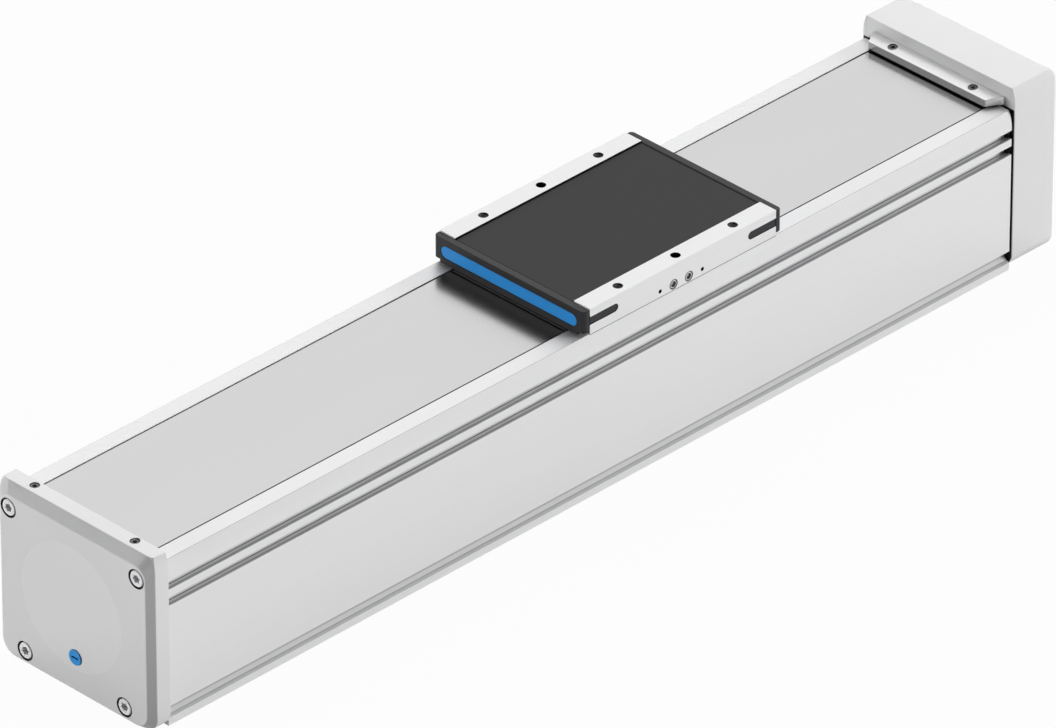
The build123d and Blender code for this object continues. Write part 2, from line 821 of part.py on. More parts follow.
# Slotted threaded ring that holds the fixed bearing in its housing, and the lock nut on the screw
bearing_retainer = slotted_ring(
    fixed_bearing_end,
    retainer_thickness,
    retainer_bore_radius,
    retainer_radius,
    retainer_slots,
    retainer_slot_width,
    retainer_slot_depth,
    retainer_bore_radius,
)
bearing_retainer.label = "bearing_retainer"
export_step(bearing_retainer, "parts/bearing_retainer.step")

lock_nut = slotted_ring(
    fixed_bearing_end,
    lock_nut_width,
    fixed_journal_radius,
    lock_nut_radius,
    lock_nut_slots,
    lock_nut_slot_width,
    lock_nut_slot_depth,
    lock_nut_radius,
)
lock_nut.label = "lock_nut"
export_step(lock_nut, "parts/lock_nut.step")

# Ball nut: barrel in the slide's bore, with a collar that has two wrench flats
carriage_start = slide_x - carriage_length / 2
carriage_end = slide_x + carriage_length / 2
nut_plane = Plane(origin=(carriage_end, 0, screw_axis_height), x_dir=(0, 1, 0), z_dir=(1, 0, 0))
with BuildPart() as ball_nut:
    with BuildSketch(nut_plane):
        Circle(nut_body_radius)
    extrude(amount=-nut_body_length)
    with BuildSketch(nut_plane):
        Circle(nut_collar_radius)
        Rectangle(nut_wrench_flats, 2 * nut_collar_radius, mode=Mode.INTERSECT)
    extrude(amount=nut_collar_width)
    with Locations(nut_plane.offset(nut_collar_width)):
        Hole(screw_radius + screw_running_gap)
ball_nut.part.label = "ball_nut"
export_step(ball_nut.part, "parts/ball_nut.step")

# Slide: carriage inside the profile, neck through the strip opening, bridge and two mounting rails
flank = Plane(origin=(slide_x, -slide_width / 2, 0), x_dir=(1, 0, 0), z_dir=(0, -1, 0))
ledge_middle = plate_base - slide_ledge_height / 2
with BuildPart() as slide_body:
    with BuildSketch(Plane.YZ.offset(slide_x - slide_half)):
        for side in (-1, 1):
            rail_y = side * (slide_width - slide_rail_width) / 2
            ledge_y = side * (slide_trough - slide_ledge_width) / 2
            with Locations((rail_y, (slide_base + slide_top) / 2)):
                Rectangle(slide_rail_width, slide_top - slide_base)
            with Locations((ledge_y, ledge_middle)):
                Rectangle(slide_ledge_width, slide_ledge_height)
    extrude(amount=slide_length)
    with BuildSketch(Plane.YZ.offset(slide_x - bridge_length / 2)):
        with Locations((0, slide_base + bridge_height / 2)):
            Rectangle(slide_trough, bridge_height)
        with Locations((0, (carriage_top + slide_base) / 2)):
            Rectangle(neck_width, slide_base - carriage_top)
    extrude(amount=bridge_length)
    with BuildSketch(Plane.YZ.offset(carriage_start)):
        with BuildLine():
            Polyline(
                (carriage_width / 2, block_top),
                (carriage_width / 2, carriage_top - carriage_edge),
                (carriage_width / 2 - carriage_edge, carriage_top),
                (-carriage_width / 2 + carriage_edge, carriage_top),
                (-carriage_width / 2, carriage_top - carriage_edge),
                (-carriage_width / 2, block_top),
                close=True,
            )
        make_face()
        with Locations((0, (block_top + carriage_belly_height) / 2)):
            Rectangle(carriage_belly_width, carriage_belly_height - block_top, mode=Mode.SUBTRACT)
        with Locations((0, screw_axis_height)):
            Circle(nut_body_radius + nut_seat_gap, mode=Mode.SUBTRACT)
    extrude(amount=carriage_length)
    with Locations(Plane.XY.offset(slide_top)):
        with Locations((slide_x, 0)):
            with GridLocations(slide_hole_spacing, 2 * slide_hole_y, 2, 2):
                Hole(slide_thread_radius, depth=slide_thread_depth)
            with GridLocations(1, 2 * slide_hole_y, 1, 2):
                Hole(slide_dowel_radius, depth=slide_dowel_depth)
    with BuildSketch(flank):
        with Locations((-slide_half, tongue_slot_height), (slide_half, tongue_slot_height)):
            SlotOverall(2 * tongue_slot_length, tongue_slot_width)
    extrude(amount=-tongue_slot_depth, mode=Mode.SUBTRACT)
    with BuildSketch(flank.offset(-slide_width)):
        with Locations((-slide_half, tongue_slot_height), (slide_half, tongue_slot_height)):
            SlotOverall(2 * tongue_slot_length, tongue_slot_width)
    extrude(amount=tongue_slot_depth, mode=Mode.SUBTRACT)
    with Locations(flank):
        with Locations((side_hole_offset, side_hole_height)):
            with GridLocations(nipple_spacing, 1, 2, 1):
                Hole(nipple_radius, depth=nipple_depth)
            with GridLocations(flag_thread_spacing, 1, 2, 1):
                Hole(flag_thread_radius, depth=flag_thread_depth)
slide_body.part.label = "slide_body"
export_step(slide_body.part, "parts/slide_body.step")

# Cover plate between the mounting rails
with BuildPart() as cover_plate:
    with BuildSketch(Plane.XY.offset(plate_base)):
        with Locations((slide_x, 0)):
            Rectangle(slide_length, slide_trough - 2 * plate_side_gap)
    extrude(amount=plate_thickness)
cover_plate.part.label = "cover_plate"
export_step(cover_plate.part, "parts/cover_plate.step")

# Lubrication nipples, pressed flush into the slide's side
with BuildPart() as lubrication_nipples:
    with BuildSketch(flank):
        with Locations((side_hole_offset, side_hole_height)):
            with GridLocations(nipple_spacing, 1, 2, 1):
                Circle(nipple_radius - nipple_seat_gap)
    extrude(amount=-nipple_depth)
lubrication_nipples.part.label = "lubrication_nipples"
export_step(lubrication_nipples.part, "parts/lubrication_nipples.step")

# Position magnet on the carriage, level with the lower side slot where the switch sits
with BuildPart() as position_magnet:
    with Locations((slide_x, -carriage_width / 2, magnet_block_z)):
        Box(
            magnet_block_length,
            magnet_block_thickness,
            magnet_block_height,
            align=(Align.CENTER, Align.MAX, Align.CENTER),
        )
position_magnet.part.label = "position_magnet"
export_step(position_magnet.part, "parts/position_magnet.step")

# Slide ends: cover with side tongues, coloured inlay, wiper, strip shoe and strip ramp
cover_section = half_section(
    (
        (0, slide_base),
        (cover_lip_width / 2, slide_base),
        (cover_lip_width / 2, slide_base + cover_lip_height),
        (slide_width / 2, slide_base + cover_lip_height),
        (slide_width / 2, cover_top),
        (0, cover_top),
    )
)
shoe_curve = strip_curve(strip_thickness / 2 + strip_run_gap)
ramp_curve = strip_curve(-strip_thickness / 2 - strip_run_gap)
ramp_floor = profile_height + ramp_floor_gap
wiper_base = profile_height + wiper_gap
tongue_depth = tongue_slot_depth - tongue_gap - tongue_sink
for name, side in (("front", -1), ("rear", 1)):
    rail_end = slide_x + side * slide_half
    end_plane = Plane(origin=(rail_end, 0, 0), x_dir=(0, side, 0), z_dir=(side, 0, 0))
    outwards = Plane(origin=(slide_x, 0, 0), x_dir=(side, 0, 0), z_dir=(0, -side, 0))
    cover_face = end_plane.offset(cover_thickness)
    wiper_plane = cover_face.offset(-wiper_inset - wiper_thickness)

    with BuildPart() as cover:
        with BuildSketch(end_plane):
            add(cover_section)
        extrude(amount=cover_thickness)
        upright = cover.edges().filter_by(Axis.Z).group_by(Axis.X)[0 if side < 0 else -1]
        fillet(upright.filter_by(lambda e: e.length > cover_lip_height + 1), radius=cover_rounding)
        with BuildSketch(cover_face):
            with Locations((0, inlay_z)):
                SlotOverall(inlay_width + 2 * tongue_gap, inlay_height + 2 * tongue_gap)
        extrude(amount=-inlay_pocket, mode=Mode.SUBTRACT)
        with BuildSketch(wiper_plane):
            with Locations((0, wiper_base)):
                Rectangle(strip_width, wiper_height, align=(Align.CENTER, Align.MIN))
        extrude(amount=wiper_thickness, mode=Mode.SUBTRACT)
        for edge in (-1, 1):
            tongue_plane = Plane(
                origin=(rail_end, edge * (slide_width / 2 - tongue_sink), tongue_slot_height),
                x_dir=(-side, 0, 0),
                z_dir=(0, edge, 0),
            )
            with BuildSketch(tongue_plane):
                SlotOverall(2 * (tongue_slot_length - tongue_gap), tongue_slot_width - 2 * tongue_gap)
                with Locations((-cover_thickness / 2, 0)):
                    Rectangle(
                        tongue_slot_length + cover_thickness,
                        tongue_slot_width,
                        align=(Align.MIN, Align.CENTER),
                        mode=Mode.INTERSECT,
                    )
            extrude(amount=-tongue_depth)
    cover.part.label = f"{name}_cover"
    export_step(cover.part, f"parts/{name}_cover.step")

    with BuildPart() as inlay:
        with BuildSketch(cover_face.offset(-inlay_pocket)):
            with Locations((0, inlay_z)):
                SlotOverall(inlay_width, inlay_height)
        extrude(amount=inlay_thickness)
    inlay.part.label = f"{name}_inlay"
    export_step(inlay.part, f"parts/{name}_inlay.step")

    with BuildPart() as wiper:
        with BuildSketch(wiper_plane):
            with Locations((0, wiper_base)):
                Rectangle(strip_width, wiper_height, align=(Align.CENTER, Align.MIN))
        extrude(amount=wiper_thickness)
    wiper.part.label = f"{name}_wiper"
    export_step(wiper.part, f"parts/{name}_wiper.step")

    with BuildPart() as strip_shoe:
        with BuildSketch(outwards):
            with BuildLine():
                under = FilletPolyline(
                    *shoe_curve, (slide_half + hump_foot, shoe_curve[-1][1]), radius=hump_bend
                )
                Polyline(under @ 1, (slide_half + hump_foot, plate_base), (0, plate_base), under @ 0)
            make_face()
            with Locations((slide_half - shoe_end_gap, 0)):
                Rectangle(
                    shoe_length, 2 * slide_top, align=(Align.MAX, Align.CENTER), mode=Mode.INTERSECT
                )
        extrude(amount=shoe_width / 2, both=True)
    strip_shoe.part.label = f"{name}_strip_shoe"
    export_step(strip_shoe.part, f"parts/{name}_strip_shoe.step")

    with BuildPart() as strip_ramp:
        with BuildSketch(outwards):
            with BuildLine():
                over = FilletPolyline(
                    *ramp_curve, (slide_half + hump_foot, ramp_curve[-1][1]), radius=hump_bend
                )
                Polyline(over @ 1, (slide_half + hump_foot, 0), (0, 0), over @ 0)
            make_face()
            with Locations((bridge_length / 2, ramp_floor)):
                Rectangle(ramp_reach, slide_top, align=(Align.MIN, Align.MIN), mode=Mode.INTERSECT)
        extrude(amount=neck_width / 2, both=True)
    strip_ramp.part.label = f"{name}_strip_ramp"
    export_step(strip_ramp.part, f"parts/{name}_strip_ramp.step")
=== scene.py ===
import json
import math

import bmesh
import bpy
from mathutils import Matrix, Vector


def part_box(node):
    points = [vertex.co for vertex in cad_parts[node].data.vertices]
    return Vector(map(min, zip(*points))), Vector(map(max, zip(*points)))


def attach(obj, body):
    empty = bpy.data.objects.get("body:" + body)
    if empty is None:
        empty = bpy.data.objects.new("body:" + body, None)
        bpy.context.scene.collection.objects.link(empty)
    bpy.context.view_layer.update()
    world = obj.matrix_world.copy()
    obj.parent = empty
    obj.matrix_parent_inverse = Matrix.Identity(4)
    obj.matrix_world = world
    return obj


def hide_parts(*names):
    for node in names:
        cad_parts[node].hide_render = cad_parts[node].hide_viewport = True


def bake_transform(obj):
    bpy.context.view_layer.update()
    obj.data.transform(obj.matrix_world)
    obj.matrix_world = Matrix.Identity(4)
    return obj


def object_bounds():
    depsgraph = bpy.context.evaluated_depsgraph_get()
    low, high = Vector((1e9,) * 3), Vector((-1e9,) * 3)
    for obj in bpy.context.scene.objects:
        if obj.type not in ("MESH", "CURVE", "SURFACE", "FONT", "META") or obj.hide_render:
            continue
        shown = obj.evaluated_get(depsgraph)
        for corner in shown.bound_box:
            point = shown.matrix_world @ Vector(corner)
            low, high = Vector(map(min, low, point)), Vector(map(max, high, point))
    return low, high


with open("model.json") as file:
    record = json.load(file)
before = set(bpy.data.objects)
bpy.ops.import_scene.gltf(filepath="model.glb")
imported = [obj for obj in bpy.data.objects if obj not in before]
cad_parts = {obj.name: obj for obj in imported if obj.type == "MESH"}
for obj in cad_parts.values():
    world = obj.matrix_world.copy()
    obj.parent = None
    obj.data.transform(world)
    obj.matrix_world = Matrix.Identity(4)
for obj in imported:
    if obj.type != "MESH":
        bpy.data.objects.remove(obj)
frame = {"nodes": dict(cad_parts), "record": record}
cad_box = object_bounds()

MM = 0.001

# Places in millimetres, as in the part
SLIDE_X, SLIDE_TOP, HOLE_X, HOLE_Y = 67.0, 125.5, 46.2, 53.6
SIDE_HOLE_X, SIDE_HOLE_Z, NIPPLE_OFFSET, FLAG_OFFSET = SLIDE_X - 1.7, 112.4, 6.15, 17.0
NEAR_FRONT, NEAR_SCREW_X, NEAR_SCREW_Y, NEAR_TOP = -351.65, -341.65, 40.0, 114.5
DRIVE_FRONT, BAR_SCREW_X, BAR_SCREW_Y, BAR_TOP = 376.85, 333.85, 32.0, 113.5
CAP_SCREWS = ((51.1, 99.0), (39.9, 9.6))
SCREW_AXIS_Z, SCREW_LEAD, MOTOR_HOLE_OFFSET = 62.0, 10.0, 27.0
PLUG_Z = 24.4
PLATE_LOW, PLATE_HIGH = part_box("cover_plate")

# Faces where painted shade begins and ends, in millimetres: across from the middle plane, up from the
# base
SIDE_FACE = 59.97
BED_EDGE, BED_LOW, BED_HIGH = 46.62, 100.0, 106.0
CREASE, CREASE_WIDTH, CREASE_LOW = 57.25, 0.25, 106.5
SLOT_BOTTOM, SLOTS_LOW, SLOTS_HIGH, SLOT_LINE_MIDDLE, SLOT_LIP_MIDDLE = 53.9, 76.9, 95.8, 82.35, 83.55
FOOT_BOTTOM, FOOT_LOW, FOOT_HIGH = 55.7, 4.7, 12.6
PLATE_EDGE, PLATE_SEAM_X = 46.2, (PLATE_HIGH.x - PLATE_LOW.x) / 2 / MM - 1.4
STRIP_EDGE = 45.2
BAR_START, BAR_BACK, BAR_FOOT = 328.0, 336.0, 108.3
CAP_GAP_START, CAP_GAP_END, CAP_GAP_SIDE, CAP_GAP_TOP = 337.0, 338.88, 60.2, 107.2


class Wave:
    """A shader socket that adds Math nodes when it is used in an expression."""

    def __init__(self, tree, socket):
        self.tree = tree
        self.socket = socket

    def node(self, kind, settings=None, **inputs):
        """Adds a node: its settings first, then values or links by socket name."""
        made = self.tree.nodes.new("ShaderNode" + kind)
        for name, value in (settings or {}).items():
            if name == "stops":
                ramp = made.color_ramp
                while len(ramp.elements) < len(value):
                    ramp.elements.new(0.5)
                for element, (place, tone) in zip(ramp.elements, value):
                    element.position = place
                    element.color = grey(tone)
            else:
                setattr(made, name, value)
        for name, value in inputs.items():
            place = int(name[1:]) if name[1:].isdigit() else name.replace("_", " ")
            socket = made.inputs[place]
            if isinstance(value, Wave):
                self.tree.links.new(value.socket, socket)
            else:
                socket.default_value = value
        return made

    def math(self, operation, a, b=0.0, clamp=False):
        made = self.node("Math", {"operation": operation, "use_clamp": clamp}, _0=a, _1=b)
        return Wave(self.tree, made.outputs[0])

    def __add__(self, other):
        return self.math("ADD", self, other)

    __radd__ = __add__

    def __sub__(self, other):
        return self.math("SUBTRACT", self, other)

    def __rsub__(self, other):
        return self.math("SUBTRACT", other, self)

    def __mul__(self, other):
        return self.math("MULTIPLY", self, other)

    __rmul__ = __mul__

    def __truediv__(self, other):
        return self.math("DIVIDE", self, other)

    def __gt__(self, other):
        return self.math("GREATER_THAN", self, other)

    def __lt__(self, other):
        return self.math("LESS_THAN", self, other)

    def clamped(self):
        return self.math("ADD", self, 0.0, clamp=True)

    def root(self):
        return self.math("SQRT", self)

    def between(self, low, high):
        """1 between two values, 0 outside."""
        return (self > low) * (self < high)

    def absolute(self):
        return self.math("ABSOLUTE", self)

    def ramp(self, *stops):
        """A value or colour read off a ramp of (place, tone) stops."""
        made = self.node("ValToRGB", {"stops": stops}, Fac=self)
        return Wave(self.tree, made.outputs[0])

    def blend(self, low, high):
        """The colour between low, at 0, and high, at 1."""
        made = self.node("Mix", {"data_type": "RGBA"}, _0=self.clamped(), _6=paint(low), _7=paint(high))
        return Wave(self.tree, made.outputs[2])


def grey(tone):
    """A tone as an opaque colour; a single number is a grey."""
    if isinstance(tone, (int, float)):
        return (tone, tone, tone, 1.0)
    return (*tone[:3], 1.0)


def paint(value):
    return value if isinstance(value, Wave) else grey(value)


class Finish(Wave):
    """A material under way: its surface shader, its place coordinates and the nodes that vary it."""

    def __init__(self, name):
        self.material = bpy.data.materials.new(name)
        self.material.use_nodes = True
        self.tree = self.material.node_tree
        self.shader = self.tree.nodes["Principled BSDF"]
        self.place = Wave(self.tree, self.node("TexCoord").outputs["Object"])

    def set(self, **values):
        """Sets the surface shader's sockets, by value or by link."""
        for name, value in values.items():
            socket = self.shader.inputs[name.replace("_", " ")]
            if isinstance(value, Wave):
                self.tree.links.new(value.socket, socket)
            else:
                socket.default_value = paint(value) if name.endswith(("Color", "Tint")) else value
        return self

    def stretched(self, x=1.0, y=1.0, z=1.0):
        """The object's coordinates in millimetres, scaled along each axis."""
        scale = (x / MM, y / MM, z / MM)
        made = self.node("Mapping", {"vector_type": "POINT"}, Vector=self.place, Scale=scale)
        return Wave(self.tree, made.outputs[0])

    def noise(self, size=1.0, detail=2.0, roughness=0.5, along=None):
        """Noise with patches about size millimetres wide, drawn out by the factors in along."""
        x, y, z = along or (1.0, 1.0, 1.0)
        made = self.node(
            "TexNoise",
            Vector=self.stretched(1 / (size * x), 1 / (size * y), 1 / (size * z)),
            Scale=1.0,
            Detail=detail,
            Roughness=roughness,
        )
        return Wave(self.tree, made.outputs[0])

    def axis(self, letter):
        """One of the object's coordinates, in millimetres."""
        made = self.node("SeparateXYZ", Vector=self.place)
        return Wave(self.tree, made.outputs["XYZ".index(letter)]) / MM

    def round_mask(self, first, second, radius, soft=0.02):
        """1 inside a round bore; each of first and second is a coordinate and the bore's place on it."""
        squares = [(along - place) * (along - place) for along, place in (first, second)]
        from_middle = (squares[0] + squares[1]).root()
        return ((radius - from_middle) / soft).clamped()

    def bump(self, height, depth_mm):
        """Raises the surface by height times depth_mm."""
        made = self.node("Bump", Height=height, Distance=depth_mm * MM, Strength=1.0)
        self.tree.links.new(made.outputs[0], self.shader.inputs["Normal"])
        return self


def painted_shade(base, *shade_masks):
    """The base colour with painted shade: near black where any of the masks is 1."""
    for shade_mask in shade_masks:
        base = shade_mask.blend(base, (0.012, 0.012, 0.013))
    return base


def drawn_aluminium(finish, tone, roughness, metal):
    """Fine satin anodised aluminium with drawing lines along the axis; gives its base colour."""
    lines = finish.noise(0.9, 2.0, 0.5, along=(90.0, 1.0, 1.0))
    streaks = finish.noise(3.0, 2.0, 0.5, along=(30.0, 1.0, 1.0))
    cloud = finish.noise(60.0, 2.0, 0.5)
    mix = lines * 0.45 + streaks * 0.25 + cloud * 0.3
    finish.set(Metallic=metal, Roughness=roughness + (lines - 0.5) * 0.05)
    finish.bump(lines, 0.0012)
    return mix.blend([c * 0.96 for c in tone], [min(c * 1.035, 1) for c in tone])


def profile_finish(name, tone):
    """The body profile: drawn aluminium, painted shade beside the cover strip, at the crease, in slots
    and grooves.
    """
    finish = Finish(name)
    base = drawn_aluminium(finish, tone, 0.42, 0.45)
    wide, high = finish.axis("Y").absolute(), finish.axis("Z")
    # Painted shade: beside the cover strip, along the crease at the flange top, in the slots with darker
    # lines at their floors and lips, and in the foot groove
    bed = (wide < BED_EDGE) * high.between(BED_LOW, BED_HIGH)
    crease = wide.between(CREASE, CREASE + CREASE_WIDTH) * (high > CREASE_LOW) * 0.35
    slots = wide.between(SLOT_BOTTOM, SIDE_FACE) * high.between(SLOTS_LOW, SLOTS_HIGH) * 0.03
    floor_rows = (high - SLOT_LINE_MIDDLE).absolute().between(4.85, 5.65)
    lip_rows = (high - SLOT_LIP_MIDDLE).absolute().between(4.85, 5.65)
    floor_lines = wide.between(SLOT_BOTTOM, SLOT_BOTTOM + 1.0) * floor_rows * 0.7
    lip_lines = wide.between(57.9, 58.6) * lip_rows * 0.45
    slot_rim = wide.between(58.1, SIDE_FACE) * lip_rows * 0.28
    foot = wide.between(FOOT_BOTTOM, SIDE_FACE) * high.between(FOOT_LOW, FOOT_HIGH) * 0.14
    foot_line = wide.between(FOOT_BOTTOM, FOOT_BOTTOM + 0.5) * high.between(7.7, 8.6) * 0.3
    foot_rim = wide.between(57.7, 58.3) * high.between(5.2, 6.0) * 0.3
    profile_shade = [crease, slots, floor_lines + lip_lines, slot_rim, foot, foot_line, foot_rim]
    return finish.set(Base_Color=painted_shade(base, bed, *profile_shade)).material


def slide_finish(name, tone):
    """The slide: drawn aluminium, painted shade in its bores, slots and flag threads, beside the plate
    and at its lower side edge.
    """
    finish = Finish(name)
    base = drawn_aluminium(finish, tone, 0.44, 0.45)
    x, y, z = finish.axis("X") - SLIDE_X, finish.axis("Y").absolute(), finish.axis("Z")
    from_hole = x.math("PINGPONG", x, HOLE_X / 2)
    # Painted shade in the bores, beside the plate, in the tongue slots, along the lower side edge and in
    # the flag threads
    bores = finish.round_mask((from_hole, 0.0), (y, HOLE_Y), 3.03) * (z > 112.0)
    trough = (y < 47.22) * (z > 110.0)
    tongue_slots = y.between(57.0, 59.93) * z.between(108.9, 120.4)
    foot = (y > 58.5) * (z < 108.7) * 0.75
    from_nipples = (finish.axis("X") - SIDE_HOLE_X).absolute()
    flags = finish.round_mask((from_nipples, FLAG_OFFSET), (z, SIDE_HOLE_Z), 1.35, 0.2)
    flags = flags * (finish.axis("Y") < -57.0)
    return finish.set(Base_Color=painted_shade(base, bores, trough, tongue_slots, foot, flags)).material


def powder_coat(name, tone, roughness, metal, disc=0.0):
    """The caps and the clamp bar: metallic coat with a trace of orange peel, painted shade in the bores
    round the screws, in the gap before the drive cap, under the bar and on its front face, and on the
    near cap's front chamfers. Disc is the strength of the plain round field on the near cap's face.
    """
    finish = Finish(name)
    peel = finish.noise(0.7, 3.0, 0.55)
    cloud = finish.noise(45.0, 2.0, 0.5)
    x, y, z = finish.axis("X"), finish.axis("Y"), finish.axis("Z")
    wide = y.absolute()
    # Painted shade in the gap before the drive cap, under the clamp bar and on its front face, and on
    # the near cap's front chamfers
    gap = x.between(CAP_GAP_START, CAP_GAP_END) * (wide < CAP_GAP_SIDE) * (z < CAP_GAP_TOP)
    bar_foot = x.between(BAR_START, BAR_BACK) * (z < BAR_FOOT)
    bar_face = x.between(BAR_START, BAR_START + 0.9) * 0.38
    chamfers = x.between(NEAR_FRONT + 0.3, NEAR_FRONT + 4.3) * 0.2
    mix = cloud
    if disc:
        mix = mix + finish.round_mask((y, 1.5), (z, 56.0), 40.0, 0.6) * disc
    base = mix.blend([c * 0.965 for c in tone], [min(c * 1.045, 1) for c in tone])
    # Painted shade in the bores round the cap screws and the set screws
    bores = [finish.round_mask((wide, place[0]), (z, place[1]), 6.15) for place in CAP_SCREWS]
    set_bores = [
        finish.round_mask((x, NEAR_SCREW_X), (wide, NEAR_SCREW_Y), 2.98) * (z > 100.0),
        finish.round_mask((x, BAR_SCREW_X), (wide, BAR_SCREW_Y), 2.98) * (z > 100.0),
    ]
    finish.set(Base_Color=painted_shade(base, *bores, *set_bores, gap, bar_foot + bar_face, chamfers))
    finish.set(Metallic=metal, Roughness=roughness + (peel - 0.5) * 0.05)
    return finish.bump(peel, 0.002).material


def rolled_steel(name, tone, roughness, metal=0.8):
    """Thin rolled strip steel with fine scratches along its length and painted shade on its side edges.
    """
    finish = Finish(name)
    scratch = finish.noise(0.18, 2.0, 0.6, along=(260.0, 1.0, 1.0))
    cloud = finish.noise(38.0, 2.0, 0.5, along=(4.0, 1.0, 1.0))
    mix = scratch * 0.5 + cloud * 0.5
    base = mix.blend([c * 0.96 for c in tone], [min(c * 1.03, 1) for c in tone])
    # Painted shade on the strip's side edges, in the gap beside the profile
    rim = finish.axis("Y").absolute() > STRIP_EDGE
    finish.set(Base_Color=painted_shade(base, rim), Metallic=metal)
    finish.set(Roughness=roughness + (scratch - 0.5) * 0.06)
    return finish.bump(scratch, 0.0015).material


def turned_steel(name, tone, roughness, metal=0.9, recesses=()):
    """Turned or ground steel with faint rings of tool marks and painted shade in its recesses: (y, z)
    places.
    """
    finish = Finish(name)
    rings = finish.noise(0.25, 2.0, 0.6, along=(1.0, 14.0, 14.0))
    cloud = finish.noise(9.0, 2.0, 0.5)
    base = (rings * 0.5 + cloud * 0.5).blend([c * 0.88 for c in tone], [min(c * 1.08, 1) for c in tone])
    wide, high = finish.axis("Y").absolute(), finish.axis("Z")
    # Painted shade in the screw heads' recesses
    shade_masks = [finish.round_mask((wide, y), (high, z), 2.2, 0.6) * 0.8 for y, z in recesses]
    finish.set(Base_Color=painted_shade(base, *shade_masks), Metallic=metal)
    finish.set(Roughness=roughness + (rings - 0.5) * 0.16)
    return finish.bump(rings, 0.006).material


def nipple_finish(name, tone):
    """Lubrication nipple: bright rims, painted shade in the ring gap and round the ball."""
    finish = Finish(name)
    x = (finish.axis("X") - SIDE_HOLE_X).absolute() - NIPPLE_OFFSET
    z = finish.axis("Z") - SIDE_HOLE_Z
    radius = (x * x + z * z).root()
    # Painted shade near black at the ring gap and outer rim, in the cup and at the centre
    dark = radius.between(2.7, 4.0) + radius.between(1.1, 1.95) + (radius < 0.4)
    grain = finish.noise(0.5, 2.0, 0.5)
    base = grain.blend([c * 0.92 for c in tone], [min(c * 1.08, 1) for c in tone])
    finish.set(Base_Color=painted_shade(base, dark * 0.85), Metallic=0.3, Roughness=0.34 + grain * 0.08)
    return finish.bump(grain, 0.003).material


def moulded(name, tone, roughness, depth_mm=0.015, gloss=0.5):
    """Moulded plastic or rubber with a fine spark-eroded grain."""
    finish = Finish(name)
    grain = finish.noise(0.5, 3.0, 0.6)
    cloud = finish.noise(18.0, 2.0, 0.5)
    base = cloud.blend([c * 0.9 for c in tone], [min(c * 1.1, 1) for c in tone])
    finish.set(Base_Color=base, Metallic=0.0, Roughness=roughness + (grain - 0.5) * 0.12)
    finish.set(Specular_IOR_Level=gloss)
    return finish.bump(grain, depth_mm).material


def ball_track(name, tone):
    """Ground screw with the ball track's groove running round it, painted darker as shade in the groove,
    plain on the journals.
    """
    finish = Finish(name)
    x, y, z = finish.axis("X"), finish.axis("Y"), finish.axis("Z") - SCREW_AXIS_Z
    turn = y.math("ARCTAN2", y, z) / math.tau
    phase = x.math("FRACT", x / SCREW_LEAD + turn)
    shaft = ((y * y + z * z).root() > 12.3) * x.between(-330.0, 330.0)
    groove = ((phase - 0.5).absolute() * -4.0 + 1.4).clamped() * shaft
    polish = finish.noise(0.3, 2.0, 0.6, along=(1.0, 14.0, 14.0))
    # Painted shade: the groove is coloured darker than the lands
    base = (groove * 0.7 + polish * 0.3).blend([c * 1.05 for c in tone], [c * 0.45 for c in tone])
    finish.set(Base_Color=base, Metallic=0.95, Roughness=0.2 + groove * 0.1)
    return finish.bump(groove * -1.0 + polish * 0.01, 1.4).material


def plug_plastic(name, tone):
    """Blue plug, with painted shade in its screwdriver slot."""
    finish = Finish(name)
    grain = finish.noise(0.4, 3.0, 0.6)
    base = grain.blend([c * 0.92 for c in tone], [min(c * 1.08, 1) for c in tone])
    # Painted shade in the screwdriver slot
    slot = finish.axis("X").between(-352.0, -350.0) * ((finish.axis("Z") - PLUG_Z).absolute() < 0.8)
    finish.set(Base_Color=painted_shade(base, slot), Roughness=0.4 + grain * 0.1)
    return finish.bump(grain, 0.006).material


def plate_finish(name, tone):
    """Black anodised plate with painted shade along its sides and before the rear cover, at the seams.
    """
    finish = Finish(name)
    grain = finish.noise(0.5, 3.0, 0.6, along=(6.0, 1.0, 1.0))
    cloud = finish.noise(40.0, 2.0, 0.5)
    base = (grain * 0.5 + cloud * 0.5).blend([c * 0.92 for c in tone], [c * 1.08 for c in tone])
    # Painted shade along the seams beside the rails and before the rear cover: near black and metallic
    # there
    seam_shade = (finish.axis("Y").absolute() > PLATE_EDGE) + (finish.axis("X") - SLIDE_X > PLATE_SEAM_X)
    finish.set(Base_Color=painted_shade(base, seam_shade), Roughness=0.55 + (grain - 0.5) * 0.1)
    finish.set(Metallic=seam_shade.clamped(), Specular_IOR_Level=0.35)
    return finish.bump(grain, 0.008).material


def pressed_felt(name, tone):
    """Pressed felt with loose fibres."""
    finish = Finish(name)
    fibres = finish.noise(0.4, 5.0, 0.75, along=(1.0, 6.0, 1.0))
    base = fibres.blend([c * 0.6 for c in tone], [min(c * 1.5, 1) for c in tone])
    finish.set(Base_Color=base, Roughness=0.95, Sheen_Weight=0.3)
    return finish.bump(fibres, 0.15).material


